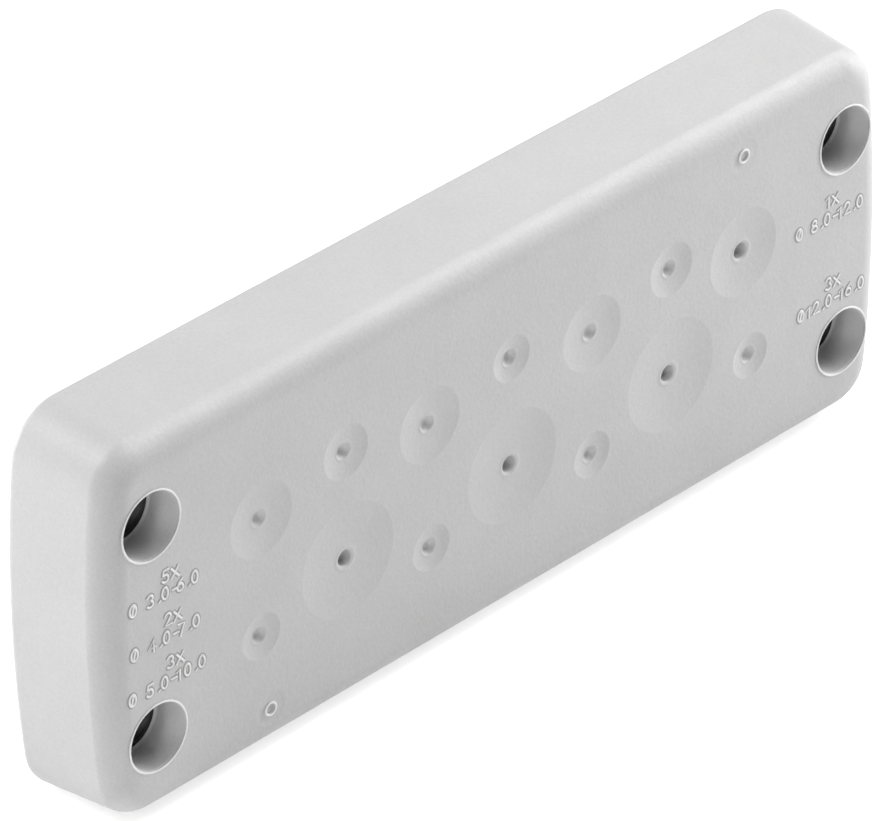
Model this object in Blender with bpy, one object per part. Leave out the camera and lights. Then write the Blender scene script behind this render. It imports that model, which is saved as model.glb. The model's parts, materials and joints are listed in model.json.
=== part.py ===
"""Cable entry plate: a one-piece moulded elastomer plate with pierceable membrane entries.

The plate covers a rectangular cut-out in an enclosure wall and is held by four screws that sink into
round wells at its corners. Each shallow dish on the front is a membrane with a small pit, where a cable
is pushed through. Behind the membranes stand tubes that guide the cables, in a pocket open to the rear.

World axes: +X along the plate, -Y out of the front face, +Z up its short side. The origin is the middle
of the overall box. Outlines are drawn with the front face at depth 0 and depth growing to the rear.
"""
import math

import bmesh
import bpy

MM = 0.001

# Screw pattern, and the plate's front outline round it
SCREW_SPACING_X = 130.0 * MM
SCREW_SPACING_Z = 32.0 * MM
END_MARGIN = 8.35 * MM
SIDE_MARGIN = 11.65 * MM
CORNER_RADIUS = 6.3 * MM
END_RADIUS = 205.0 * MM

# Section of the plate
PLATE_DEPTH = 16.5 * MM
SIDE_DRAFT_DEG = 5.7
FRONT_ROUND = 3.9 * MM
REAR_ROUND = 1.2 * MM

# Screw wells: a wide counterbore, a ledge for the screw head and a through hole
WELL_RADIUS = 4.8 * MM
WELL_DEPTH = 5.4 * MM
WELL_RIM_ROUND = 0.3 * MM
SCREW_HOLE_RADIUS = 3.7 * MM

# Membrane entries: a dish of one depth for all, and a pit that is deeper in the two largest kinds
ENTRY_PITCH = 15.3 * MM
DISH_MARGIN = 0.25 * MM
DISH_DEPTH = 0.55 * MM
PIT_RADIUS = 1.15 * MM
PIT_LIP = 0.3 * MM
PIT_FLOOR_CHAMFER = 0.3 * MM
SHALLOW_PIT = 0.7 * MM
DEEP_PIT = 1.6 * MM
MEMBRANE = 0.9 * MM
MEMBRANE_EDGE = 1.15 * MM

# Tubes behind the membranes, in the rear pocket
TUBE_CLEARANCE = 0.2 * MM
TUBE_WALL = 1.2 * MM
TUBE_SETBACK = 1.0 * MM
TUBE_MOUTH_CHAMFER = 0.3 * MM
TUBE_DRAFT_DEG = 0.8
FRONT_WEB = 3.0 * MM

# The pocket lies inside the enclosure's cut-out, and the sealing bead runs outside it
SCREW_TO_CUTOUT = 9.0 * MM
CUTOUT_HEIGHT = 36.0 * MM
CUTOUT_CORNER_RADIUS = 4.0 * MM
POCKET_INSET = 0.5 * MM
POCKET_DRAFT_DEG = 1.5
BEAD_OFFSET = 2.2 * MM
BEAD_WIDTH = 1.8 * MM
BEAD_HEIGHT = 0.6 * MM

# Mesh fineness, and how far a cutter reaches past the face it opens
CHORD_ERROR = 0.08 * MM
END_STEPS = 4
CORNER_STEPS = 7
CUTTER_REACH = 1.0 * MM
MERGE_DISTANCE = 0.01 * MM
SHARP_ANGLE_DEG = 35.0

# The five kinds of entry: largest cable diameter, and depth of the pit below its dish
ENTRY_KINDS = {
    "fine": (6.3 * MM, SHALLOW_PIT),
    "small": (7.5 * MM, SHALLOW_PIT),
    "medium": (10.5 * MM, SHALLOW_PIT),
    "large": (12.5 * MM, DEEP_PIT),
    "extra_large": (16.2 * MM, DEEP_PIT),
}

# Heights of the entries above and below the plate's middle, and shifts from the pitch along it
UPPER_FINE_Z = 10.9 * MM
UPPER_SMALL_Z = 10.8 * MM
UPPER_MEDIUM_Z = 7.8 * MM
UPPER_LARGE_Z = 7.2 * MM
LOWER_OUTER_FINE_Z = -9.8 * MM
LOWER_INNER_FINE_Z = -11.2 * MM
LOWER_EXTRA_LARGE_Z = -5.7 * MM
LARGE_ENTRY_SHIFT = -1.1 * MM
OUTER_FINE_SHIFT = 0.5 * MM

# Each entry: kind of cable, place along the plate, height
ENTRIES = (
    ("medium", -3 * ENTRY_PITCH, UPPER_MEDIUM_Z),
    ("small", -2 * ENTRY_PITCH, UPPER_SMALL_Z),
    ("medium", -ENTRY_PITCH, UPPER_MEDIUM_Z),
    ("fine", 0.0, UPPER_FINE_Z),
    ("medium", ENTRY_PITCH, UPPER_MEDIUM_Z),
    ("small", 2 * ENTRY_PITCH, UPPER_SMALL_Z),
    ("large", 3 * ENTRY_PITCH + LARGE_ENTRY_SHIFT, UPPER_LARGE_Z),
    ("fine", -3 * ENTRY_PITCH - OUTER_FINE_SHIFT, LOWER_OUTER_FINE_Z),
    ("extra_large", -2 * ENTRY_PITCH, LOWER_EXTRA_LARGE_Z),
    ("fine", -ENTRY_PITCH, LOWER_INNER_FINE_Z),
    ("extra_large", 0.0, LOWER_EXTRA_LARGE_Z),
    ("fine", ENTRY_PITCH, LOWER_INNER_FINE_Z),
    ("extra_large", 2 * ENTRY_PITCH, LOWER_EXTRA_LARGE_Z),
    ("fine", 3 * ENTRY_PITCH + OUTER_FINE_SHIFT, LOWER_OUTER_FINE_Z),
)

FRONT_Y = -(PLATE_DEPTH + BEAD_HEIGHT) / 2


def clear_scene():
    """Start from an empty scene."""
    for item in list(bpy.data.objects):
        bpy.data.objects.remove(item)


def elastomer_material():
    """Light grey moulded elastomer."""
    material = bpy.data.materials.new("grey_elastomer")
    material.use_nodes = True
    shader = material.node_tree.nodes["Principled BSDF"]
    shader.inputs["Base Color"].default_value = (0.60, 0.60, 0.60, 1.0)
    shader.inputs["Roughness"].default_value = 0.55
    shader.inputs["Metallic"].default_value = 0.0
    return material


def arc_points(centre_x, centre_z, radius, start, end, steps):
    """Points of an arc in the XZ plane, both ends included."""
    angles = [start + (end - start) * i / steps for i in range(steps + 1)]
    return [(centre_x + radius * math.cos(a), centre_z + radius * math.sin(a)) for a in angles]


def mirrored_loop(quarter):
    """Close a quarter outline, from the +X axis round to the top, by mirroring it twice."""
    top = quarter + [(-x, z) for x, z in reversed(quarter)]
    lower = [(x, -z) for x, z in reversed(top)]
    loop = []
    for point in top + lower:
        if not loop or math.dist(point, loop[-1]) > MERGE_DISTANCE:
            loop.append(point)
    if math.dist(loop[0], loop[-1]) < MERGE_DISTANCE:
        loop.pop()
    return loop


def plate_outline(offset):
    """Outline of the plate, moved outwards by offset: straight long sides, bowed ends, round corners."""
    corner = CORNER_RADIUS + offset
    end_radius = END_RADIUS + offset
    end_centre = SCREW_SPACING_X / 2 + END_MARGIN - END_RADIUS
    corner_z = SCREW_SPACING_Z / 2 + SIDE_MARGIN - CORNER_RADIUS
    reach = END_RADIUS - CORNER_RADIUS
    corner_x = end_centre + math.sqrt(reach ** 2 - corner_z ** 2)
    meeting = math.asin(corner_z / reach)
    end = arc_points(end_centre, 0, end_radius, 0, meeting, END_STEPS)
    turn = arc_points(corner_x, corner_z, corner, meeting, math.pi / 2, CORNER_STEPS)
    return mirrored_loop(end[:-1] + turn)


def rounded_rectangle(half_length, half_height, radius):
    """Outline of a rectangle with round corners."""
    x = half_length - radius
    z = half_height - radius
    return mirrored_loop(arc_points(x, z, radius, 0, math.pi / 2, CORNER_STEPS))


def finish_mesh(name, mesh_data):
    """Turn an edited mesh into an object with its faces pointing out."""
    bmesh.ops.recalc_face_normals(mesh_data, faces=mesh_data.faces)
    mesh = bpy.data.meshes.new(name)
    mesh_data.to_mesh(mesh)
    mesh_data.free()
    item = bpy.data.objects.new(name, mesh)
    item.location.y = FRONT_Y
    return item


def loft(name, rings, closed=False):
    """Solid through rings of (depth, outline), capped at both ends, or joined to itself if closed."""
    mesh_data = bmesh.new()
    loops = [[mesh_data.verts.new((x, depth, z)) for x, z in outline] for depth, outline in rings]
    pairs = list(zip(loops, loops[1:]))
    if closed:
        pairs.append((loops[-1], loops[0]))
    for near, far in pairs:
        for i, corner in enumerate(near):
            j = (i + 1) % len(near)
            mesh_data.faces.new((corner, near[j], far[j], far[i]))
    if not closed:
        mesh_data.faces.new(loops[0])
        mesh_data.faces.new(loops[-1])
    return finish_mesh(name, mesh_data)


def turned(name, profile, centre, radius):
    """Solid turned about an axis along Y; the profile of (radius, depth) runs from pole to pole."""
    segments = 4 * math.ceil(math.pi / math.acos(1 - CHORD_ERROR / radius) / 4)
    x, z = centre
    mesh_data = bmesh.new()
    points = [mesh_data.verts.new((x + r, depth, z)) for r, depth in profile]
    edges = [mesh_data.edges.new(pair) for pair in zip(points, points[1:])]
    bmesh.ops.spin(mesh_data, geom=points + edges, cent=(x, 0, z), axis=(0, 1, 0),
                   angle=2 * math.pi, steps=segments)
    bmesh.ops.remove_doubles(mesh_data, verts=mesh_data.verts, dist=MERGE_DISTANCE)
    return finish_mesh(name, mesh_data)


def add_cutter(item, group):
    """Link an object as a construction shape that only cuts or joins."""
    item.hide_render = True
    item.display_type = "WIRE"
    group.objects.link(item)
    return item


def new_group(name):
    """Collection of construction shapes."""
    group = bpy.data.collections.new(name)
    bpy.context.scene.collection.children.link(group)
    return group


def boolean(item, name, operation, operand):
    """Boolean with one object, or with every object of a collection."""
    modifier = item.modifiers.new(name, "BOOLEAN")
    modifier.operation = operation
    modifier.solver = "EXACT"
    if isinstance(operand, bpy.types.Collection):
        modifier.operand_type = "COLLECTION"
        modifier.collection = operand
    else:
        modifier.object = operand


def blank_plate():
    """The plate before its holes: drafted sides, a round front edge and a softened rear edge."""
    draft = math.tan(math.radians(SIDE_DRAFT_DEG))
    rings = []
    front_steps = 5
    for i in range(front_steps + 1):
        angle = math.radians(90 - SIDE_DRAFT_DEG) * i / front_steps
        depth = FRONT_ROUND * (1 - math.cos(angle))
        inset = FRONT_ROUND * (1 - math.sin(angle))
        rings.append((depth, plate_outline(depth * draft - inset)))
    rear_steps = 2
    for i in range(rear_steps + 1):
        angle = math.radians(90) * i / rear_steps
        depth = PLATE_DEPTH - REAR_ROUND * (1 - math.sin(angle))
        inset = REAR_ROUND * (1 - math.cos(angle))
        rings.append((depth, plate_outline(depth * draft - inset)))
    return loft("entry_plate", rings)


def tube_bore_radius(kind):
    """Radius of the tube's bore at its open rear end."""
    return ENTRY_KINDS[kind][0] / 2 + TUBE_CLEARANCE


def dish_radius(kind):
    """Radius of the front dish's rim."""
    return ENTRY_KINDS[kind][0] / 2 + DISH_MARGIN


def pit_bottom(kind):
    """Depth of the pit's lowest point below the front face."""
    return DISH_DEPTH + ENTRY_KINDS[kind][1]


def dish_sag(kind, radius):
    """Depth of the spherical dish at a radius from its middle."""
    sphere = (dish_radius(kind) ** 2 + DISH_DEPTH ** 2) / (2 * DISH_DEPTH)
    return math.sqrt(sphere ** 2 - radius ** 2) - sphere + DISH_DEPTH


def pit_profile(kind):
    """The pit from its mouth to its middle: a soft shallow hollow, or a hole with bevelled edges."""
    mouth = PIT_RADIUS + PIT_LIP
    top = dish_sag(kind, mouth)
    bottom = pit_bottom(kind)
    if ENTRY_KINDS[kind][1] == SHALLOW_PIT:
        hollow_steps = 5
        profile = []
        for i in range(hollow_steps + 1):
            sunk = (1 - math.cos(math.pi * i / hollow_steps)) / 2
            profile.append((mouth * (1 - i / hollow_steps), top + (bottom - top) * sunk))
        return profile
    return [
        (mouth, top),
        (PIT_RADIUS, top + PIT_LIP),
        (PIT_RADIUS, bottom - PIT_FLOOR_CHAMFER),
        (PIT_RADIUS - PIT_FLOOR_CHAMFER, bottom),
        (0, bottom),
    ]


def dish_profile(kind):
    """Front cutter of an entry: a shallow spherical dish with a pit in its middle."""
    rim = dish_radius(kind)
    pit_mouth = PIT_RADIUS + PIT_LIP
    profile = [(0, -CUTTER_REACH), (rim, -CUTTER_REACH)]
    dish_steps = 4
    for i in range(dish_steps):
        radius = rim + (pit_mouth - rim) * i / dish_steps
        profile.append((radius, dish_sag(kind, radius)))
    return profile + pit_profile(kind)


def bore_profile(kind):
    """Rear cutter of an entry: the tube's bore, ending in a membrane that is coned towards the rear."""
    draft = math.tan(math.radians(TUBE_DRAFT_DEG))
    tube_end = PLATE_DEPTH - TUBE_SETBACK
    rear = tube_bore_radius(kind)
    tip = pit_bottom(kind) + MEMBRANE
    front = rear - (tube_end - MEMBRANE_EDGE) * draft
    mouth = rear + TUBE_MOUTH_CHAMFER
    return [
        (0, tip),
        (PIT_RADIUS, tip),
        (front, MEMBRANE_EDGE),
        (rear, tube_end - TUBE_MOUTH_CHAMFER),
        (mouth, tube_end),
        (mouth, tube_end + TUBE_SETBACK + CUTTER_REACH),
        (0, tube_end + TUBE_SETBACK + CUTTER_REACH),
    ]


def tube_profile(kind):
    """Outside of an entry's tube, from inside the front web to its rear end."""
    draft = math.tan(math.radians(TUBE_DRAFT_DEG))
    tube_end = PLATE_DEPTH - TUBE_SETBACK
    start = FRONT_WEB - CUTTER_REACH
    end_radius = tube_bore_radius(kind) + TUBE_WALL
    start_radius = end_radius + (tube_end - start) * draft
    return [(0, start), (start_radius, start), (end_radius, tube_end), (0, tube_end)]


def well_profile():
    """Cutter of a screw well: round rim, counterbore, ledge and through hole."""
    profile = [(0, -CUTTER_REACH), (WELL_RADIUS + WELL_RIM_ROUND, -CUTTER_REACH)]
    rim_steps = 2
    for i in range(rim_steps + 1):
        angle = math.pi / 2 * i / rim_steps
        radius = WELL_RADIUS + WELL_RIM_ROUND * (1 - math.sin(angle))
        profile.append((radius, WELL_RIM_ROUND * (1 - math.cos(angle))))
    rear = PLATE_DEPTH + CUTTER_REACH
    profile += [(WELL_RADIUS, WELL_DEPTH), (SCREW_HOLE_RADIUS, WELL_DEPTH)]
    profile += [(SCREW_HOLE_RADIUS, rear), (0, rear)]
    return profile


def pocket_core():
    """Block that cuts the rear pocket, drafted so that it opens to the rear."""
    half_length = SCREW_SPACING_X / 2 - SCREW_TO_CUTOUT - POCKET_INSET
    half_height = CUTOUT_HEIGHT / 2 - POCKET_INSET
    draft = math.tan(math.radians(POCKET_DRAFT_DEG))
    rings = []
    for depth in (FRONT_WEB, PLATE_DEPTH + CUTTER_REACH):
        inset = (PLATE_DEPTH - depth) * draft
        outline = rounded_rectangle(half_length - inset, half_height - inset, CUTOUT_CORNER_RADIUS)
        rings.append((depth, outline))
    return loft("pocket_core", rings)


def sealing_bead():
    """Rounded bead on the rear face, just outside the enclosure's cut-out."""
    half_length = SCREW_SPACING_X / 2 - SCREW_TO_CUTOUT + BEAD_OFFSET
    half_height = CUTOUT_HEIGHT / 2 + BEAD_OFFSET
    corner = CUTOUT_CORNER_RADIUS + BEAD_OFFSET
    section = [(-BEAD_WIDTH / 2, -BEAD_HEIGHT), (BEAD_WIDTH / 2, -BEAD_HEIGHT)]
    bead_steps = 4
    for i in range(bead_steps + 1):
        angle = math.pi * i / bead_steps
        section.append((BEAD_WIDTH / 2 * math.cos(angle), BEAD_HEIGHT * math.sin(angle)))
    rings = []
    for side, height in section:
        outline = rounded_rectangle(half_length + side, half_height + side, corner + side)
        rings.append((PLATE_DEPTH + height, outline))
    return loft("sealing_bead", rings, closed=True)


def build_plate():
    """Cut the pocket, the entries and the wells into the blank, and add the sealing bead."""
    tubes = new_group("tubes")
    holes = new_group("holes")
    guides = new_group("guides")
    for number, (kind, x, z) in enumerate(ENTRIES, start=1):
        centre = (x, z)
        radius = dish_radius(kind)
        add_cutter(turned(f"tube_{number}", tube_profile(kind), centre, radius), tubes)
        add_cutter(turned(f"bore_{number}", bore_profile(kind), centre, radius), holes)
        add_cutter(turned(f"dish_{number}", dish_profile(kind), centre, radius), holes)
    for side in (-1, 1):
        for level in (-1, 1):
            centre = (side * SCREW_SPACING_X / 2, level * SCREW_SPACING_Z / 2)
            name = f"well_{'left' if side < 0 else 'right'}_{'lower' if level < 0 else 'upper'}"
            add_cutter(turned(name, well_profile(), centre, WELL_RADIUS), holes)
    core = add_cutter(pocket_core(), guides)
    boolean(core, "leave_tubes", "DIFFERENCE", tubes)
    bead = add_cutter(sealing_bead(), guides)
    plate = blank_plate()
    bpy.context.scene.collection.objects.link(plate)
    plate.data.materials.append(elastomer_material())
    boolean(plate, "rear_pocket", "DIFFERENCE", core)
    boolean(plate, "entries_and_wells", "DIFFERENCE", holes)
    boolean(plate, "bead", "UNION", bead)
    plate.data.shade_smooth()
    plate.data.set_sharp_from_angle(angle=math.radians(SHARP_ANGLE_DEG))


clear_scene()
build_plate()
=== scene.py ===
"""Looks of the cable entry plate: a smooth moulded shell over the solid, its fine marks, and the studio."""
import json
import math

import bmesh
import bpy
from mathutils import Matrix, Vector

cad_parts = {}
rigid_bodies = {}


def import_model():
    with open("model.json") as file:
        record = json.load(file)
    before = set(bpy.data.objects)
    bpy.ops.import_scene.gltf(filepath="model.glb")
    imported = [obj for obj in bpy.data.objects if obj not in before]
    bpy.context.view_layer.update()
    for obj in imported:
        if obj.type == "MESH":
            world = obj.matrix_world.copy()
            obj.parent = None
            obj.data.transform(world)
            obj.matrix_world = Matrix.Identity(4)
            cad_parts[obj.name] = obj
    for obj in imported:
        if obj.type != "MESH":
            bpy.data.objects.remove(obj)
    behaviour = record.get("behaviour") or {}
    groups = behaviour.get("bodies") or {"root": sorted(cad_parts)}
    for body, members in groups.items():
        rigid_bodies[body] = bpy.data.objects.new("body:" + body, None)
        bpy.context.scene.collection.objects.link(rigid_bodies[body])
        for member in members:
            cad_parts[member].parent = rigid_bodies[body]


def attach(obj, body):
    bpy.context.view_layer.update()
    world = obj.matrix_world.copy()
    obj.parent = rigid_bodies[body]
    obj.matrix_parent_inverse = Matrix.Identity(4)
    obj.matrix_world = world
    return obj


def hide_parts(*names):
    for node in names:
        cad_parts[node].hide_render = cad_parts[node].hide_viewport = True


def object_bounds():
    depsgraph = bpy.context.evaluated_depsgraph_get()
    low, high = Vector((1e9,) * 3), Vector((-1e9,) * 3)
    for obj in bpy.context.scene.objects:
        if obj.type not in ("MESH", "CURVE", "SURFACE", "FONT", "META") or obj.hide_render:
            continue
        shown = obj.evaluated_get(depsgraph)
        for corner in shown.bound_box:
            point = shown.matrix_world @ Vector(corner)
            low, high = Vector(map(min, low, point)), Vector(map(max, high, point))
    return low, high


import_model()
cad_low, cad_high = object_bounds()

MM = 0.001

# Sizes of the plate, as in its solid
SCREW_SPACING_X = 130.0 * MM
SCREW_SPACING_Z = 32.0 * MM
END_MARGIN = 8.35 * MM
SIDE_MARGIN = 11.65 * MM
CORNER_RADIUS = 6.3 * MM
END_RADIUS = 205.0 * MM
PLATE_DEPTH = 16.5 * MM
SIDE_DRAFT_DEG = 5.7
FRONT_ROUND = 3.9 * MM
REAR_ROUND = 1.2 * MM
WELL_RADIUS = 4.8 * MM
WELL_DEPTH = 5.4 * MM
WELL_RIM_ROUND = 0.3 * MM
SCREW_HOLE_RADIUS = 3.7 * MM
ENTRY_PITCH = 15.3 * MM
DISH_MARGIN = 0.25 * MM
DISH_DEPTH = 0.55 * MM
PIT_RADIUS = 1.15 * MM
PIT_LIP = 0.3 * MM
PIT_FLOOR_ROUND = 0.35 * MM
BOWL_POWER = 2.6
BOWL_LIP = 0.05 * MM
PIT_BEAD_WIDTH = 0.35 * MM
PIT_BEAD_HEIGHT = 0.045 * MM
SHALLOW_PIT = 0.7 * MM
DEEP_PIT = 1.6 * MM
MEMBRANE = 0.9 * MM
MEMBRANE_EDGE = 1.15 * MM
TUBE_CLEARANCE = 0.2 * MM
TUBE_WALL = 1.2 * MM
TUBE_SETBACK = 1.0 * MM
TUBE_MOUTH_CHAMFER = 0.3 * MM
TUBE_DRAFT_DEG = 0.8
FRONT_WEB = 3.0 * MM
SCREW_TO_CUTOUT = 9.0 * MM
CUTOUT_HEIGHT = 36.0 * MM
CUTOUT_CORNER_RADIUS = 4.0 * MM
POCKET_INSET = 0.5 * MM
POCKET_DRAFT_DEG = 1.5
BEAD_OFFSET = 2.2 * MM
BEAD_WIDTH = 1.8 * MM
BEAD_HEIGHT = 0.6 * MM

# Fineness of the shell, and edges that only it rounds
CHORD_ERROR = 0.006 * MM
CUTTER_REACH = 1.0 * MM
MERGE_DISTANCE = 0.000002
DISH_RIM_ROUND = 0.06 * MM
WELL_RING_RADIUS = 5.03 * MM
WELL_RING_THICKNESS = 0.17 * MM
SHARP_ANGLE_DEG = 32.0

# Colour of the elastomer: its own grey, painted near-black shade inside the screw holes, and a painted
# highlight on the tops and painted shade at the feet of the raised marks and rings
BASE_GREY = 0.62
HOLE_SHADE_GREY = 0.01
LEDGE_LIP = 0.4 * MM
HOLE_SHADE_MARGIN = 0.1 * MM
SHADE_FADE = 3.5 * MM
SHADE_END = 0.3 * MM
RAISED_TOP_HIGHLIGHT_GAIN = 1.5
RAISED_TOP_HIGHLIGHT_RANGE = (-0.03 * MM, -0.13 * MM)
RAISED_FOOT_SHADE_GAIN = 0.6
RAISED_FOOT_SHADE_START = (-0.003 * MM, -0.006 * MM)
RAISED_FOOT_SHADE_END = (-0.02 * MM, -0.06 * MM)

# Surface of the elastomer: scale, detail and sometimes roughness of each noise, and what it drives
ELASTOMER_IOR = 1.5
NOISE_ROUGHNESS = 0.55
NOISE_RANGE = (0.3, 0.7)
MOTTLE_NOISE = (90.0, 4.0)
MOTTLE_GAINS = (0.975, 1.025)
SPECK_NOISE = (2600.0, 2.0)
SPECK_GAINS = (0.965, 1.035)
GLOSS_NOISE = (700.0, 3.0)
GLOSS_ROUGHNESS = (0.42, 0.56)
WAVE_NOISE = (220.0, 3.0)
WAVE_STRENGTH = 0.5
WAVE_HEIGHT = 0.04 * MM
GRAIN_NOISE = (1500.0, 3.0, 0.6)
GRAIN_STRENGTH = 0.6
GRAIN_HEIGHT = 0.08 * MM

# The five kinds of entry: largest cable diameter, and depth of the pit below its dish
ENTRY_KINDS = {
    "fine": (6.3 * MM, SHALLOW_PIT),
    "small": (7.5 * MM, SHALLOW_PIT),
    "medium": (10.5 * MM, SHALLOW_PIT),
    "large": (12.5 * MM, DEEP_PIT),
    "extra_large": (16.2 * MM, DEEP_PIT),
}

# Heights of the entries above and below the plate's middle, and shifts from the pitch along it
UPPER_FINE_Z = 10.9 * MM
UPPER_SMALL_Z = 10.8 * MM
UPPER_MEDIUM_Z = 7.8 * MM
UPPER_LARGE_Z = 7.2 * MM
LOWER_OUTER_FINE_Z = -9.8 * MM
LOWER_INNER_FINE_Z = -11.2 * MM
LOWER_EXTRA_LARGE_Z = -5.7 * MM
LARGE_ENTRY_SHIFT = -1.1 * MM
OUTER_FINE_SHIFT = 0.5 * MM

# Each entry: kind of cable, place along the plate, height
ENTRIES = (
    ("medium", -3 * ENTRY_PITCH, UPPER_MEDIUM_Z),
    ("small", -2 * ENTRY_PITCH, UPPER_SMALL_Z),
    ("medium", -ENTRY_PITCH, UPPER_MEDIUM_Z),
    ("fine", 0.0, UPPER_FINE_Z),
    ("medium", ENTRY_PITCH, UPPER_MEDIUM_Z),
    ("small", 2 * ENTRY_PITCH, UPPER_SMALL_Z),
    ("large", 3 * ENTRY_PITCH + LARGE_ENTRY_SHIFT, UPPER_LARGE_Z),
    ("fine", -3 * ENTRY_PITCH - OUTER_FINE_SHIFT, LOWER_OUTER_FINE_Z),
    ("extra_large", -2 * ENTRY_PITCH, LOWER_EXTRA_LARGE_Z),
    ("fine", -ENTRY_PITCH, LOWER_INNER_FINE_Z),
    ("extra_large", 0.0, LOWER_EXTRA_LARGE_Z),
    ("fine", ENTRY_PITCH, LOWER_INNER_FINE_Z),
    ("extra_large", 2 * ENTRY_PITCH, LOWER_EXTRA_LARGE_Z),
    ("fine", 3 * ENTRY_PITCH + OUTER_FINE_SHIFT, LOWER_OUTER_FINE_Z),
)

# Gate marks: a small sunk ring in a faint round step, near two corners
GATE_MARKS = ((44.7 * MM, 22.2 * MM), (-45.1 * MM, -21.7 * MM))
GATE_HOLE_RADIUS = 0.7 * MM
GATE_HOLE_DEPTH = 0.2 * MM
GATE_RING_RADIUS = 0.93 * MM
GATE_RING_THICKNESS = 0.24 * MM
GATE_STEP_RADIUS = 2.75 * MM
GATE_STEP_DEPTH = 0.09 * MM
GATE_STEP_SLOPE = 0.25 * MM

# Size marks: plain numbers, raised on the front
MARK_HEIGHT = 1.75 * MM
MARK_WIDTH = 1.15 * MM
MARK_RAISE = 0.16 * MM
MARK_SHOULDER = 0.12 * MM
MARK_SHOULDER_SHARE = 0.8
MARK_FOOT = 0.19 * MM
MARK_ROOT = 0.1 * MM
# Flat sheet round each stroke, a hair proud of the front, that only carries the painted shade at the
# stroke's foot
MARK_SHADE_SKIRT_WIDTH = 0.36 * MM
MARK_SHADE_SKIRT_HEIGHT = 0.008 * MM
MARK_SHADE_SKIRT_STEP = 0.0002 * MM
MARK_MERGE = 0.001 * MM
MARK_ADVANCES = {"1": 1.4 * MM, ".": 0.9 * MM, "-": 1.0 * MM, " ": 1.4 * MM}
FIGURE_ADVANCE = 1.65 * MM

# Camera, from the four screw wells in the photograph
CAMERA_TARGET = (-4.3 * MM, 0.12 * MM, 1.12 * MM)
CAMERA_AZIMUTH_DEG = -45.48
CAMERA_ELEVATION_DEG = 32.55
CAMERA_ROLL_DEG = -0.65
CAMERA_DISTANCE = 1022.9 * MM
CAMERA_LENS = 318.3
CAMERA_SENSOR_WIDTH = 36.0
CAMERA_CLIP_END = 20.0

# Softboxes aimed at the plate: azimuth from the front round to the right, elevation, distance, power
LAMPS = {
    "rear_low_softbox": (-150.0, 4.0, 1.0, 8.3),
    "rear_left_softbox": (-120.0, 55.0, 1.0, 5.1),
    "rear_right_softbox": (120.0, 55.0, 1.0, 1.8),
    "left_front_softbox": (-60.0, 4.0, 1.0, 3.1),
    "right_near_softbox": (75.0, 15.0, 0.6, 2.05),
    "right_high_softbox": (60.0, 55.0, 1.0, 4.2),
}
LAMP_SIZE_PER_METRE = 0.45

# Small lamp that only draws the highlight on the upper front edge
HIGHLIGHT_AIM = (60.0 * MM, 0.0, 20.0 * MM)
HIGHLIGHT_DIRECTION_DEG = (85.0, 50.0)
HIGHLIGHT_DISTANCE = 0.3
HIGHLIGHT_SIZE = 0.09
HIGHLIGHT_POWER = 0.34

# Floor and world: the floor's glow rises from near to far between the two radii
FLOOR_SIZE = 6.0
FLOOR_GREY = 0.9
FLOOR_LIT_RADIUS = 0.4
FLOOR_EDGE_RADIUS = 1.3
FLOOR_NEAR_GLOW = 0.6
FLOOR_FAR_GLOW = 1.0
WORLD_FILL = 0.01

FRONT_Y = cad_low[1]


def arc_points(centre_x, centre_z, radius, start, end, steps):
    """Points of an arc in the XZ plane, both ends included."""
    angles = [start + (end - start) * i / steps for i in range(steps + 1)]
    return [(centre_x + radius * math.cos(a), centre_z + radius * math.sin(a)) for a in angles]


def mirrored_loop(quarter):
    """Close a quarter outline, from the +X axis round to the top, by mirroring it twice."""
    top = quarter + [(-x, z) for x, z in reversed(quarter)]
    lower = [(x, -z) for x, z in reversed(top)]
    loop = []
    for point in top + lower:
        if not loop or math.dist(point, loop[-1]) > MERGE_DISTANCE:
            loop.append(point)
    if math.dist(loop[0], loop[-1]) < MERGE_DISTANCE:
        loop.pop()
    return loop


def plate_outline(offset):
    """Outline of the plate, moved outwards by offset: straight long sides, bowed ends, round corners."""
    end_steps = 16
    corner_steps = 22
    end_centre = SCREW_SPACING_X / 2 + END_MARGIN - END_RADIUS
    corner_z = SCREW_SPACING_Z / 2 + SIDE_MARGIN - CORNER_RADIUS
    reach = END_RADIUS - CORNER_RADIUS
    corner_x = end_centre + math.sqrt(reach ** 2 - corner_z ** 2)
    meeting = math.asin(corner_z / reach)
    end = arc_points(end_centre, 0, END_RADIUS + offset, 0, meeting, end_steps)
    turn = arc_points(corner_x, corner_z, CORNER_RADIUS + offset, meeting, math.pi / 2, corner_steps)
    return mirrored_loop(end[:-1] + turn)


def rounded_rectangle(half_length, half_height, radius):
    """Outline of a rectangle with round corners."""
    corner_steps = 16
    x = half_length - radius
    z = half_height - radius
    return mirrored_loop(arc_points(x, z, radius, 0, math.pi / 2, corner_steps))


def finish_mesh(name, mesh_data):
    """Turn an edited mesh into an object with its faces pointing out."""
    bmesh.ops.recalc_face_normals(mesh_data, faces=mesh_data.faces)
    mesh = bpy.data.meshes.new(name)
    mesh_data.to_mesh(mesh)
    mesh_data.free()
    mesh.transform(Matrix.Translation((0, FRONT_Y, 0)))
    return bpy.data.objects.new(name, mesh)


def loft(name, rings, closed=False):
    """Solid through rings of (depth, outline), capped at both ends, or joined to itself if closed."""
    mesh_data = bmesh.new()
    loops = [[mesh_data.verts.new((x, depth, z)) for x, z in outline] for depth, outline in rings]
    pairs = list(zip(loops, loops[1:]))
    if closed:
        pairs.append((loops[-1], loops[0]))
    for near, far in pairs:
        for i, corner in enumerate(near):
            j = (i + 1) % len(near)
            mesh_data.faces.new((corner, near[j], far[j], far[i]))
    if not closed:
        mesh_data.faces.new(loops[0])
        mesh_data.faces.new(loops[-1])
    return finish_mesh(name, mesh_data)


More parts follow.
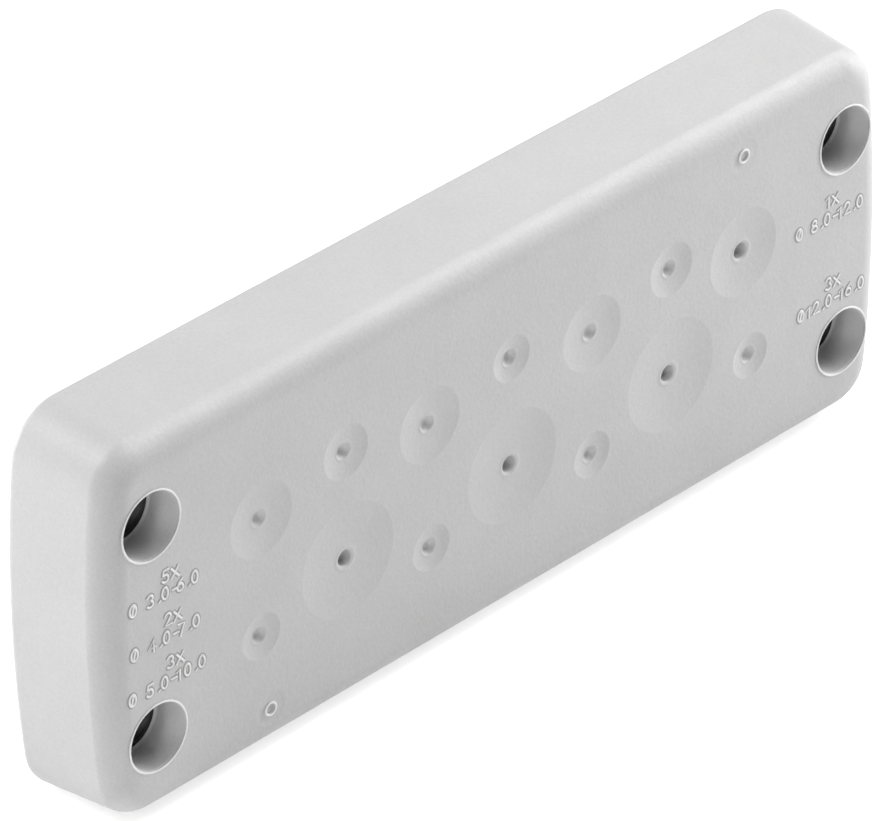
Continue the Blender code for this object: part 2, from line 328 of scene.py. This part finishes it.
def turned(name, profile, centre, radius):
    """Solid turned about an axis along Y; the profile of (radius, depth) runs from pole to pole."""
    segments = 4 * math.ceil(math.pi / math.acos(1 - CHORD_ERROR / radius) / 4)
    x, z = centre
    mesh_data = bmesh.new()
    points = [mesh_data.verts.new((x + r, depth, z)) for r, depth in profile]
    edges = [mesh_data.edges.new(pair) for pair in zip(points, points[1:])]
    bmesh.ops.spin(mesh_data, geom=points + edges, cent=(x, 0, z), axis=(0, 1, 0),
                   angle=2 * math.pi, steps=segments)
    bmesh.ops.remove_doubles(mesh_data, verts=mesh_data.verts, dist=MERGE_DISTANCE)
    return finish_mesh(name, mesh_data)


def tube_bore_radius(kind):
    """Radius of the tube's bore at its open rear end."""
    return ENTRY_KINDS[kind][0] / 2 + TUBE_CLEARANCE


def dish_radius(kind):
    """Radius of the front dish's rim."""
    return ENTRY_KINDS[kind][0] / 2 + DISH_MARGIN


def dish_sag(kind, radius):
    """Depth of the spherical dish at a radius from its middle."""
    sphere = (dish_radius(kind) ** 2 + DISH_DEPTH ** 2) / (2 * DISH_DEPTH)
    return math.sqrt(sphere ** 2 - radius ** 2) - sphere + DISH_DEPTH


def pit_bottom(kind):
    """Depth of the pit's lowest point below the front face."""
    return DISH_DEPTH + ENTRY_KINDS[kind][1]


def pit_mouth(kind):
    """Radius of the pit's mouth."""
    return PIT_RADIUS + (BOWL_LIP if ENTRY_KINDS[kind][1] == SHALLOW_PIT else PIT_LIP)


def pit_profile(kind):
    """The pit from its mouth to its middle: a shallow bowl, or a hole with a round lip."""
    mouth = pit_mouth(kind)
    top = dish_sag(kind, mouth)
    bottom = pit_bottom(kind)
    profile = []
    if ENTRY_KINDS[kind][1] == SHALLOW_PIT:
        hollow_steps = 14
        for i in range(hollow_steps + 1):
            share = 1 - i / hollow_steps
            profile.append((mouth * share, top + (bottom - top) * (1 - share ** BOWL_POWER)))
        return profile
    round_steps = 5
    for i in range(round_steps + 1):
        angle = math.pi / 2 * i / round_steps
        profile.append((mouth - PIT_LIP * math.sin(angle), top + PIT_LIP * (1 - math.cos(angle))))
    for i in range(round_steps + 1):
        angle = math.pi / 2 * i / round_steps
        profile.append((PIT_RADIUS - PIT_FLOOR_ROUND * (1 - math.cos(angle)),
                        bottom - PIT_FLOOR_ROUND * (1 - math.sin(angle))))
    profile.append((0, bottom))
    return profile


def dish_profile(kind):
    """Front cutter of an entry: a shallow dish with a softened rim, and the pit in its middle."""
    rim = dish_radius(kind)
    slope = 2 * DISH_DEPTH / rim
    profile = [(0, -CUTTER_REACH), (rim + DISH_RIM_ROUND, -CUTTER_REACH)]
    rim_steps = 4
    for i in range(rim_steps):
        inward = 2 * DISH_RIM_ROUND * i / rim_steps
        profile.append((rim + DISH_RIM_ROUND - inward, slope * inward ** 2 / (4 * DISH_RIM_ROUND)))
    start = rim - DISH_RIM_ROUND
    bead_edge = pit_mouth(kind) + PIT_BEAD_WIDTH
    dish_steps = 12
    for i in range(dish_steps + 1):
        radius = start + (bead_edge - start) * i / dish_steps
        profile.append((radius, dish_sag(kind, radius)))
    bead_steps = 6
    for i in range(1, bead_steps):
        radius = bead_edge - PIT_BEAD_WIDTH * i / bead_steps
        rise = PIT_BEAD_HEIGHT * math.sin(math.pi * i / bead_steps)
        profile.append((radius, dish_sag(kind, radius) - rise))
    return profile + pit_profile(kind)


def bore_profile(kind):
    """Rear cutter of an entry: the tube's bore, ending in a membrane that is coned towards the rear."""
    draft = math.tan(math.radians(TUBE_DRAFT_DEG))
    tube_end = PLATE_DEPTH - TUBE_SETBACK
    rear = tube_bore_radius(kind)
    tip = pit_bottom(kind) + MEMBRANE
    front = rear - (tube_end - MEMBRANE_EDGE) * draft
    mouth = rear + TUBE_MOUTH_CHAMFER
    edge = 0.3 * MM
    profile = [(0, tip), (PIT_RADIUS - edge, tip), (PIT_RADIUS, tip - edge / 4)]
    profile += [(front - edge, MEMBRANE_EDGE), (front, MEMBRANE_EDGE + edge)]
    profile.append((rear, tube_end - TUBE_MOUTH_CHAMFER))
    mouth_steps = 4
    for i in range(1, mouth_steps + 1):
        angle = math.pi / 2 * i / mouth_steps
        profile.append((mouth - TUBE_MOUTH_CHAMFER * math.cos(angle),
                        tube_end - TUBE_MOUTH_CHAMFER * (1 - math.sin(angle))))
    profile.append((mouth, tube_end + TUBE_SETBACK + CUTTER_REACH))
    profile.append((0, tube_end + TUBE_SETBACK + CUTTER_REACH))
    return profile


def tube_profile(kind):
    """Outside of an entry's tube, with a fillet at its root and a softened rear edge."""
    draft = math.tan(math.radians(TUBE_DRAFT_DEG))
    tube_end = PLATE_DEPTH - TUBE_SETBACK
    end_radius = tube_bore_radius(kind) + TUBE_WALL
    start = FRONT_WEB - CUTTER_REACH
    root_fillet = 0.5 * MM
    root_radius = end_radius + (tube_end - FRONT_WEB) * draft
    profile = [(0, start), (root_radius + root_fillet, start), (root_radius + root_fillet, FRONT_WEB)]
    fillet_steps = 4
    for i in range(1, fillet_steps + 1):
        angle = math.pi / 2 * i / fillet_steps
        profile.append((root_radius + root_fillet * (1 - math.sin(angle)),
                        FRONT_WEB + root_fillet * (1 - math.cos(angle))))
    edge = 0.25 * MM
    edge_steps = 3
    for i in range(edge_steps + 1):
        angle = math.pi / 2 * i / edge_steps
        profile.append((end_radius - edge * (1 - math.cos(angle)), tube_end - edge * (1 - math.sin(angle))))
    profile.append((0, tube_end))
    return profile


def well_profile():
    """Cutter of a screw well: round rim, counterbore, ledge with a softened lip, and through hole."""
    profile = [(0, -CUTTER_REACH), (WELL_RADIUS + WELL_RIM_ROUND, -CUTTER_REACH)]
    rim_steps = 5
    for i in range(rim_steps + 1):
        angle = math.pi / 2 * i / rim_steps
        profile.append((WELL_RADIUS + WELL_RIM_ROUND * (1 - math.sin(angle)),
                        WELL_RIM_ROUND * (1 - math.cos(angle))))
    lip = 0.2 * MM
    profile.append((WELL_RADIUS, WELL_DEPTH - lip))
    profile.append((WELL_RADIUS - lip, WELL_DEPTH))
    profile.append((SCREW_HOLE_RADIUS + lip, WELL_DEPTH))
    profile.append((SCREW_HOLE_RADIUS, WELL_DEPTH + lip))
    profile.append((SCREW_HOLE_RADIUS, PLATE_DEPTH - lip))
    profile.append((SCREW_HOLE_RADIUS + lip, PLATE_DEPTH))
    profile.append((SCREW_HOLE_RADIUS + lip, PLATE_DEPTH + CUTTER_REACH))
    profile.append((0, PLATE_DEPTH + CUTTER_REACH))
    return profile


def gate_profile():
    """Cutter of a gate mark: a faint round step with a small hole in its middle."""
    return [
        (0, -CUTTER_REACH),
        (GATE_STEP_RADIUS, -CUTTER_REACH),
        (GATE_STEP_RADIUS, 0),
        (GATE_STEP_RADIUS - GATE_STEP_SLOPE, GATE_STEP_DEPTH),
        (GATE_HOLE_RADIUS, GATE_STEP_DEPTH),
        (GATE_HOLE_RADIUS, GATE_HOLE_DEPTH),
        (0, GATE_HOLE_DEPTH),
    ]


def ring_profile(radius, thickness, depth):
    """Closed round section of a raised ring."""
    steps = 12
    angles = [2 * math.pi * i / steps for i in range(steps + 1)]
    return [(radius + thickness * math.cos(a), depth - thickness * math.sin(a)) for a in angles]


def blank_plate():
    """The plate before its holes: drafted sides, a round front edge and a softened rear edge."""
    draft = math.tan(math.radians(SIDE_DRAFT_DEG))
    rings = []
    front_steps = 16
    for i in range(front_steps + 1):
        angle = math.radians(90 - SIDE_DRAFT_DEG) * i / front_steps
        depth = FRONT_ROUND * (1 - math.cos(angle))
        rings.append((depth, plate_outline(depth * draft - FRONT_ROUND * (1 - math.sin(angle)))))
    rear_steps = 6
    for i in range(rear_steps + 1):
        angle = math.radians(90) * i / rear_steps
        depth = PLATE_DEPTH - REAR_ROUND * (1 - math.sin(angle))
        rings.append((depth, plate_outline(depth * draft - REAR_ROUND * (1 - math.cos(angle)))))
    return loft("plate_shell", rings)


def pocket_core():
    """Block that cuts the rear pocket, drafted so that it opens to the rear."""
    half_length = SCREW_SPACING_X / 2 - SCREW_TO_CUTOUT - POCKET_INSET
    half_height = CUTOUT_HEIGHT / 2 - POCKET_INSET
    draft = math.tan(math.radians(POCKET_DRAFT_DEG))
    rings = []
    for depth in (FRONT_WEB, PLATE_DEPTH + CUTTER_REACH):
        inset = (PLATE_DEPTH - depth) * draft
        outline = rounded_rectangle(half_length - inset, half_height - inset, CUTOUT_CORNER_RADIUS)
        rings.append((depth, outline))
    return loft("pocket_core", rings)


def sealing_bead():
    """Rounded bead on the rear face, just outside the enclosure's cut-out."""
    half_length = SCREW_SPACING_X / 2 - SCREW_TO_CUTOUT + BEAD_OFFSET
    half_height = CUTOUT_HEIGHT / 2 + BEAD_OFFSET
    corner = CUTOUT_CORNER_RADIUS + BEAD_OFFSET
    section = [(-BEAD_WIDTH / 2, -BEAD_HEIGHT), (BEAD_WIDTH / 2, -BEAD_HEIGHT)]
    bead_steps = 10
    for i in range(bead_steps + 1):
        angle = math.pi * i / bead_steps
        section.append((BEAD_WIDTH / 2 * math.cos(angle), BEAD_HEIGHT * math.sin(angle)))
    rings = []
    for side, height in section:
        outline = rounded_rectangle(half_length + side, half_height + side, corner + side)
        rings.append((PLATE_DEPTH + height, outline))
    return loft("sealing_bead", rings, closed=True)


def new_group(name):
    """Collection of construction shapes."""
    group = bpy.data.collections.new(name)
    bpy.context.scene.collection.children.link(group)
    return group


def boolean(item, operation, operand):
    """Boolean with one object, or with every object of a collection."""
    modifier = item.modifiers.new("cut", "BOOLEAN")
    modifier.operation = operation
    modifier.solver = "EXACT"
    if isinstance(operand, bpy.types.Collection):
        modifier.operand_type = "COLLECTION"
        modifier.collection = operand
    else:
        modifier.object = operand


def settled(item):
    """A new mesh that holds the object's shape with its modifiers applied."""
    bpy.context.view_layer.update()
    view = item.evaluated_get(bpy.context.evaluated_depsgraph_get())
    return bpy.data.meshes.new_from_object(view)


def drop(group):
    """Delete the construction shapes of a collection."""
    for item in list(group.objects):
        bpy.data.objects.remove(item)
    bpy.data.collections.remove(group)


def plate_shell():
    """The whole moulding as one smooth mesh, with every hole, dish, tube and bead."""
    tubes = new_group("tubes")
    holes = new_group("holes")
    ridges = new_group("ridges")
    cores = new_group("cores")
    for number, (kind, x, z) in enumerate(ENTRIES, start=1):
        radius = dish_radius(kind)
        tubes.objects.link(turned(f"tube_{number}", tube_profile(kind), (x, z), radius))
        holes.objects.link(turned(f"bore_{number}", bore_profile(kind), (x, z), radius))
        holes.objects.link(turned(f"dish_{number}", dish_profile(kind), (x, z), radius))
    for side in (-1, 1):
        for level in (-1, 1):
            centre = (side * SCREW_SPACING_X / 2, level * SCREW_SPACING_Z / 2)
            holes.objects.link(turned("well", well_profile(), centre, WELL_RADIUS))
            rim = ring_profile(WELL_RING_RADIUS, WELL_RING_THICKNESS, 0)
            ridges.objects.link(turned("well_ring", rim, centre, WELL_RADIUS))
    for centre in GATE_MARKS:
        holes.objects.link(turned("gate_mark", gate_profile(), centre, GATE_STEP_RADIUS))
        lip = ring_profile(GATE_RING_RADIUS, GATE_RING_THICKNESS, GATE_STEP_DEPTH)
        ridges.objects.link(turned("gate_ring", lip, centre, GATE_STEP_RADIUS))
    ridges.objects.link(sealing_bead())
    core = pocket_core()
    cores.objects.link(core)
    boolean(core, "DIFFERENCE", tubes)
    plate = blank_plate()
    bpy.context.scene.collection.objects.link(plate)
    boolean(plate, "DIFFERENCE", core)
    boolean(plate, "DIFFERENCE", holes)
    boolean(plate, "UNION", ridges)
    plate.data = settled(plate)
    plate.modifiers.clear()
    for group in (tubes, holes, ridges, cores):
        drop(group)
    plate.data.shade_smooth()
    plate.data.set_sharp_from_angle(angle=math.radians(SHARP_ANGLE_DEG))
    normals = plate.modifiers.new("even_normals", "WEIGHTED_NORMAL")
    normals.mode = "FACE_AREA_WITH_ANGLE"
    normals.keep_sharp = True
    return plate


def glyph_strokes(sign):
    """Centre lines of one sign, as lists of points in a cell 1 high and half as wide."""
    def arc(x, z, radius_x, radius_z, start, end):
        steps = max(4, round(abs(end - start) / 20))
        angles = [math.radians(start + (end - start) * i / steps) for i in range(steps + 1)]
        return [(x + radius_x * math.cos(a), z + radius_z * math.sin(a)) for a in angles]

    return {
        "0": [arc(0.25, 0.5, 0.22, 0.5, 90, 450)],
        "1": [[(0.08, 0.76), (0.28, 1.0), (0.28, 0.0)]],
        "2": [arc(0.25, 0.76, 0.21, 0.24, 170, -25) + [(0.02, 0.0), (0.48, 0.0)]],
        "3": [arc(0.22, 0.76, 0.21, 0.24, 150, -80) + arc(0.22, 0.26, 0.24, 0.26, 80, -150)],
        "4": [[(0.38, 0.0), (0.38, 1.0), (0.0, 0.28), (0.5, 0.28)]],
        "5": [[(0.44, 1.0), (0.1, 1.0), (0.06, 0.56)] + arc(0.22, 0.31, 0.24, 0.31, 120, -150)],
        "6": [[(0.4, 0.96), (0.16, 0.72)] + arc(0.25, 0.3, 0.22, 0.3, 165, 525)],
        "7": [[(0.02, 1.0), (0.48, 1.0), (0.18, 0.0)]],
        "8": [arc(0.25, 0.76, 0.18, 0.23, -90, 270), arc(0.25, 0.26, 0.23, 0.26, 90, 450)],
        "x": [[(0.0, 0.0), (0.5, 0.8)], [(0.0, 0.8), (0.5, 0.0)]],
        "-": [[(0.1, 0.42), (0.42, 0.42)]],
        ".": [[(0.2, 0.0), (0.26, 0.06)]],
        "d": [arc(0.25, 0.5, 0.25, 0.5, 90, 450), [(0.17, 0.1), (0.33, 0.9)]],
    }.get(sign, [])


def add_ridge(mesh_data, points, skirt):
    """Raised stroke along a line of points in the XZ plane, as a closed body, standing on a faint flat
    sheet a hair proud of the front that takes the painted shade round the stroke's foot.
    """
    closed = math.dist(points[0], points[-1]) < MARK_MERGE
    if closed:
        points = points[:-1]
    count = len(points)
    shoulder = MARK_RAISE * MARK_SHOULDER_SHARE
    section = [(-MARK_SHADE_SKIRT_WIDTH, -MARK_ROOT), (-MARK_SHADE_SKIRT_WIDTH, skirt), (-MARK_FOOT, skirt),
               (-MARK_SHOULDER, shoulder), (0, MARK_RAISE), (MARK_SHOULDER, shoulder),
               (MARK_FOOT, skirt), (MARK_SHADE_SKIRT_WIDTH, skirt), (MARK_SHADE_SKIRT_WIDTH, -MARK_ROOT)]
    rings = []
    for i, (x, z) in enumerate(points):
        before = points[i - 1] if closed or i else points[i]
        after = points[(i + 1) % count] if closed or i < count - 1 else points[i]
        along = Vector((after[0] - before[0], after[1] - before[1])).normalized()
        end = 0 if closed or 0 < i < count - 1 else (1 if i else -1)
        centre = Vector((x, z)) + along * end * MARK_FOOT
        rings.append([mesh_data.verts.new((centre.x - along.y * offset, -height,
                                           centre.y + along.x * offset)) for offset, height in section])
    pairs = list(zip(rings, rings[1:]))
    if closed:
        pairs.append((rings[-1], rings[0]))
    for ring, following in pairs:
        for i in range(len(section)):
            k = (i + 1) % len(section)
            mesh_data.faces.new((ring[i], ring[k], following[k], following[i]))
    if not closed:
        mesh_data.faces.new(rings[0])
        mesh_data.faces.new(rings[-1])


def size_mark(name, text, centre_x, centre_z):
    """One line of raised figures on the front; d stands for the diameter sign."""
    mesh_data = bmesh.new()
    advances = [MARK_ADVANCES.get(sign, FIGURE_ADVANCE) for sign in text]
    left = centre_x - sum(advances) / 2
    base = centre_z - MARK_HEIGHT / 2
    skirt = MARK_SHADE_SKIRT_HEIGHT
    for sign, advance in zip(text, advances):
        for stroke in glyph_strokes(sign):
            points = [(left + 2 * x * MARK_WIDTH, base + z * MARK_HEIGHT) for x, z in stroke]
            add_ridge(mesh_data, points, skirt)
            skirt += MARK_SHADE_SKIRT_STEP
        left += advance
    mark = finish_mesh(name, mesh_data)
    bpy.context.scene.collection.objects.link(mark)
    return mark


def size_marks():
    """The five pairs of lines: how many entries, and their range of cable diameters in millimetres."""
    # text, its middle along the plate, and its height, in millimetres
    lines = (
        ("5x", -61.8, 7.5),
        ("d 3.0-6.0", -63.0, 5.0),
        ("2x", -61.6, 0.9),
        ("d 4.0-7.0", -63.0, -1.7),
        ("3x", -61.4, -5.7),
        ("d 5.0-10.0", -62.9, -8.3),
        ("1x", 62.7, 7.7),
        ("d 8.0-12.0", 62.3, 5.0),
        ("3x", 63.2, -5.5),
        ("d12.0-16.0", 62.9, -8.2),
    )
    marks = []
    for number, (text, x, z) in enumerate(lines, start=1):
        marks.append(size_mark(f"size_mark_{number}", text, x * MM, z * MM))
    return marks


def elastomer_material():
    """Light grey moulded elastomer: fine grain, soft sheen, faint mottling, with painted shade in the screw
    holes and at the feet of raised marks and rings, and a painted highlight on their tops.
    """
    material = bpy.data.materials.new("grey_elastomer_fine")
    material.use_nodes = True
    nodes = material.node_tree.nodes
    links = material.node_tree.links
    shader = nodes["Principled BSDF"]
    shader.inputs["Metallic"].default_value = 0.0
    shader.inputs["IOR"].default_value = ELASTOMER_IOR
    place = nodes.new("ShaderNodeTexCoord")

    def noise(scale, detail, roughness=NOISE_ROUGHNESS):
        node = nodes.new("ShaderNodeTexNoise")
        node.inputs["Scale"].default_value = scale
        node.inputs["Detail"].default_value = detail
        node.inputs["Roughness"].default_value = roughness
        links.new(place.outputs["Object"], node.inputs["Vector"])
        return node.outputs["Fac"]

    def ramp(source, low, high, from_low, from_high):
        node = nodes.new("ShaderNodeMapRange")
        node.inputs["From Min"].default_value = from_low
        node.inputs["From Max"].default_value = from_high
        node.inputs["To Min"].default_value = low
        node.inputs["To Max"].default_value = high
        links.new(source, node.inputs["Value"])
        return node.outputs["Result"]

    def combine(operation, first, second):
        node = nodes.new("ShaderNodeMath")
        node.operation = operation
        for socket, value in zip(node.inputs, (first, second)):
            if isinstance(value, float):
                socket.default_value = value
            else:
                links.new(value, socket)
        return node.outputs[0]

    def bump(height, strength, distance):
        node = nodes.new("ShaderNodeBump")
        node.inputs["Strength"].default_value = strength
        node.inputs["Distance"].default_value = distance
        links.new(height, node.inputs["Height"])
        return node

    axes = nodes.new("ShaderNodeSeparateXYZ")
    links.new(place.outputs["Object"], axes.inputs["Vector"])
    from_axis = []
    for axis, spacing in (("X", SCREW_SPACING_X), ("Z", SCREW_SPACING_Z)):
        away = combine("ABSOLUTE", axes.outputs[axis], 0.0)
        from_axis.append(combine("POWER", combine("SUBTRACT", away, spacing / 2), 2.0))
    # Painted shade: the walls of each screw hole behind the ledge, and all of the ledge but a thin lip, go
    # near black, fading back to grey near the rear opening
    in_hole = combine("LESS_THAN", combine("ADD", *from_axis), (WELL_RADIUS - LEDGE_LIP) ** 2)
    deep = combine("GREATER_THAN", axes.outputs["Y"], FRONT_Y + WELL_DEPTH - HOLE_SHADE_MARGIN)
    rear_y = FRONT_Y + PLATE_DEPTH
    fade = ramp(axes.outputs["Y"], 1.0, 0.0, rear_y - SHADE_FADE, rear_y - SHADE_END)
    painted_hole_shade = combine("MULTIPLY", combine("MULTIPLY", in_hole, deep), fade)
    sunk = combine("SUBTRACT", axes.outputs["Y"], FRONT_Y)
    # Painted highlight: anything raised above the front face, the size marks and the well and gate rings,
    # is up to half again lighter towards its top
    raised_top_highlight = ramp(sunk, 1.0, RAISED_TOP_HIGHLIGHT_GAIN, *RAISED_TOP_HIGHLIGHT_RANGE)
    # Painted shade: a darker band, down to 0.6 of the grey, just above the front face at the foot of each
    # raised mark and ring and on the flat sheets round the strokes; outline carries it
    foot = combine("MULTIPLY", ramp(sunk, 0.0, 1.0, *RAISED_FOOT_SHADE_START),
                   ramp(sunk, 1.0, 0.0, *RAISED_FOOT_SHADE_END))
    outline = ramp(foot, 1.0, RAISED_FOOT_SHADE_GAIN, 0.0, 1.0)
    mottle = ramp(noise(*MOTTLE_NOISE), *MOTTLE_GAINS, *NOISE_RANGE)
    speck = ramp(noise(*SPECK_NOISE), *SPECK_GAINS, *NOISE_RANGE)
    grey = combine("MULTIPLY", mottle, speck)
    # The grey is multiplied by the painted hole shade, the painted highlight on raised tops and the painted
    # shade at their feet
    for factor in (ramp(painted_hole_shade, BASE_GREY, HOLE_SHADE_GREY, 0.0, 1.0), raised_top_highlight, outline):
        grey = combine("MULTIPLY", grey, factor)
    colour = nodes.new("ShaderNodeCombineColor")
    for channel in ("Red", "Green", "Blue"):
        links.new(grey, colour.inputs[channel])
    links.new(colour.outputs["Color"], shader.inputs["Base Color"])
    gloss = ramp(noise(*GLOSS_NOISE), *GLOSS_ROUGHNESS, *NOISE_RANGE)
    links.new(gloss, shader.inputs["Roughness"])
    waves = bump(noise(*WAVE_NOISE), WAVE_STRENGTH, WAVE_HEIGHT)
    grain = bump(noise(*GRAIN_NOISE), GRAIN_STRENGTH, GRAIN_HEIGHT)
    links.new(waves.outputs["Normal"], grain.inputs["Normal"])
    links.new(grain.outputs["Normal"], shader.inputs["Normal"])
    return material


def floor_material():
    """Pale floor that glows to the camera and in reflections, and still takes the shadow."""
    material = bpy.data.materials.new("pale_floor")
    material.use_nodes = True
    nodes = material.node_tree.nodes
    links = material.node_tree.links
    nodes.remove(nodes["Principled BSDF"])
    output = nodes["Material Output"]
    base = nodes.new("ShaderNodeBsdfDiffuse")
    base.inputs["Color"].default_value = (FLOOR_GREY, FLOOR_GREY, FLOOR_GREY, 1)
    glow = nodes.new("ShaderNodeEmission")
    rays = nodes.new("ShaderNodeLightPath")
    either = nodes.new("ShaderNodeMath")
    either.operation = "MAXIMUM"
    links.new(rays.outputs["Is Camera Ray"], either.inputs[0])
    links.new(rays.outputs["Is Glossy Ray"], either.inputs[1])
    place = nodes.new("ShaderNodeTexCoord")
    away = nodes.new("ShaderNodeVectorMath")
    away.operation = "LENGTH"
    links.new(place.outputs["Object"], away.inputs[0])
    spread = nodes.new("ShaderNodeMapRange")
    spread.inputs["From Min"].default_value = FLOOR_LIT_RADIUS
    spread.inputs["From Max"].default_value = FLOOR_EDGE_RADIUS
    spread.inputs["To Min"].default_value = FLOOR_NEAR_GLOW
    spread.inputs["To Max"].default_value = FLOOR_FAR_GLOW
    links.new(away.outputs["Value"], spread.inputs["Value"])
    level = nodes.new("ShaderNodeMath")
    level.operation = "MULTIPLY"
    links.new(either.outputs[0], level.inputs[0])
    links.new(spread.outputs["Result"], level.inputs[1])
    links.new(level.outputs[0], glow.inputs["Strength"])
    both = nodes.new("ShaderNodeAddShader")
    links.new(base.outputs["BSDF"], both.inputs[0])
    links.new(glow.outputs["Emission"], both.inputs[1])
    links.new(both.outputs["Shader"], output.inputs["Surface"])
    return material


def add_floor():
    """Floor just under the plate's lowest edge."""
    mesh = bpy.data.meshes.new("floor")
    mesh_data = bmesh.new()
    bmesh.ops.create_grid(mesh_data, x_segments=1, y_segments=1, size=FLOOR_SIZE / 2)
    mesh_data.to_mesh(mesh)
    mesh_data.free()
    floor = bpy.data.objects.new("floor", mesh)
    floor.location.z = cad_low[2]
    floor.data.materials.append(floor_material())
    bpy.context.scene.collection.objects.link(floor)


def add_world():
    """Plain surroundings: white to the camera, and next to nothing for every other ray."""
    world = bpy.data.worlds.new("studio")
    bpy.context.scene.world = world
    world.use_nodes = True
    nodes = world.node_tree.nodes
    links = world.node_tree.links
    background = nodes["Background"]
    background.inputs["Color"].default_value = (1, 1, 1, 1)
    rays = nodes.new("ShaderNodeLightPath")
    level = nodes.new("ShaderNodeMapRange")
    level.inputs["To Min"].default_value = WORLD_FILL
    level.inputs["To Max"].default_value = 1.0
    links.new(rays.outputs["Is Camera Ray"], level.inputs["Value"])
    links.new(level.outputs["Result"], background.inputs["Strength"])


def direction(azimuth_deg, elevation_deg):
    """Unit vector towards an azimuth, from the front round to the right, and an elevation."""
    azimuth = math.radians(azimuth_deg)
    elevation = math.radians(elevation_deg)
    level = math.cos(elevation)
    return Vector((math.sin(azimuth) * level, -math.cos(azimuth) * level, math.sin(elevation)))


def add_softbox(name, aim, angles_deg, distance, size, power):
    """Square lamp that looks at a point from a direction."""
    light = bpy.data.lights.new(name, "AREA")
    light.shape = "SQUARE"
    light.size = size
    light.energy = power
    item = bpy.data.objects.new(name, light)
    back = direction(*angles_deg)
    item.location = Vector(aim) + back * distance
    item.rotation_euler = (-back).to_track_quat("-Z", "Y").to_euler()
    bpy.context.scene.collection.objects.link(item)
    return item


def add_lamps():
    """Softboxes aimed at the plate, and the small highlight lamp."""
    for name, (azimuth_deg, elevation_deg, distance, power) in LAMPS.items():
        size = LAMP_SIZE_PER_METRE * distance
        add_softbox(name, (0, 0, 0), (azimuth_deg, elevation_deg), distance, size, power)
    highlight = add_softbox("highlight_lamp", HIGHLIGHT_AIM, HIGHLIGHT_DIRECTION_DEG,
                            HIGHLIGHT_DISTANCE, HIGHLIGHT_SIZE, HIGHLIGHT_POWER)
    highlight.visible_diffuse = False


def add_camera():
    """Camera at the photograph's viewing angle."""
    back = direction(CAMERA_AZIMUTH_DEG, CAMERA_ELEVATION_DEG)
    camera = bpy.data.cameras.new("camera")
    camera.lens = CAMERA_LENS
    camera.sensor_width = CAMERA_SENSOR_WIDTH
    camera.clip_end = CAMERA_CLIP_END
    item = bpy.data.objects.new("camera", camera)
    item.location = Vector(CAMERA_TARGET) + back * CAMERA_DISTANCE
    aim = (-back).to_track_quat("-Z", "Y").to_matrix().to_4x4()
    roll = Matrix.Rotation(math.radians(CAMERA_ROLL_DEG), 4, "Z")
    item.rotation_euler = (aim @ roll).to_euler()
    bpy.context.scene.collection.objects.link(item)
    bpy.context.scene.camera = item


material = elastomer_material()
shell = plate_shell()
shell.data.materials.clear()
shell.data.materials.append(material)
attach(shell, "root")
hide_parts("entry_plate")
for mark in size_marks():
    mark.data.materials.append(material)
    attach(mark, "root")

add_floor()
add_world()
add_lamps()
add_camera()
bpy.context.scene.view_settings.view_transform = "Standard"
